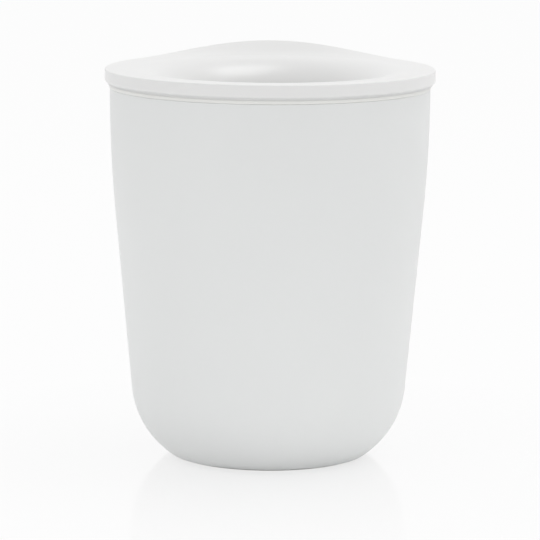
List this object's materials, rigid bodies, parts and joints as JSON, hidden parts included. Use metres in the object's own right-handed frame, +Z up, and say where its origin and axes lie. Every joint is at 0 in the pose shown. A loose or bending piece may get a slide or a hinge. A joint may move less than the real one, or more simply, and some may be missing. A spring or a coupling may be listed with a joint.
{
  "type": "pen cup",
  "caption": "Round double-walled desk cup for pens with a tapered smooth body and a lift-off mouth collar with a raised grip lip.",
  "frame": {"origin": "centre of the underside of the foot ring, on the surface the cup stands on", "axes": "+Z up along the cup's axis, +Y towards the back where the collar's grip lip is, front faces -Y"},
  "size_m": [0.089, 0.089, 0.1087],
  "materials": {
    "shell_plastic": "fine satin white polypropylene",
    "liner_plastic": "satin white polypropylene",
    "collar_plastic": "smooth semi-gloss white polypropylene",
    "foot_elastomer": "matte white thermoplastic elastomer",
    "grip_elastomer": "translucent white silicone"
  },
  "bodies": {
    "cup": {"outer_shell": "shell_plastic", "inner_liner": "liner_plastic", "foot_ring": "foot_elastomer"},
    "collar": {"top_collar": "collar_plastic", "grip_ring": "grip_elastomer"}
  },
  "joints": [
    {"name": "collar_lift", "type": "slide", "parent": "cup", "child": "collar", "axis": [0, 0, 1], "range_m": [0, 0.12]}
  ]
}
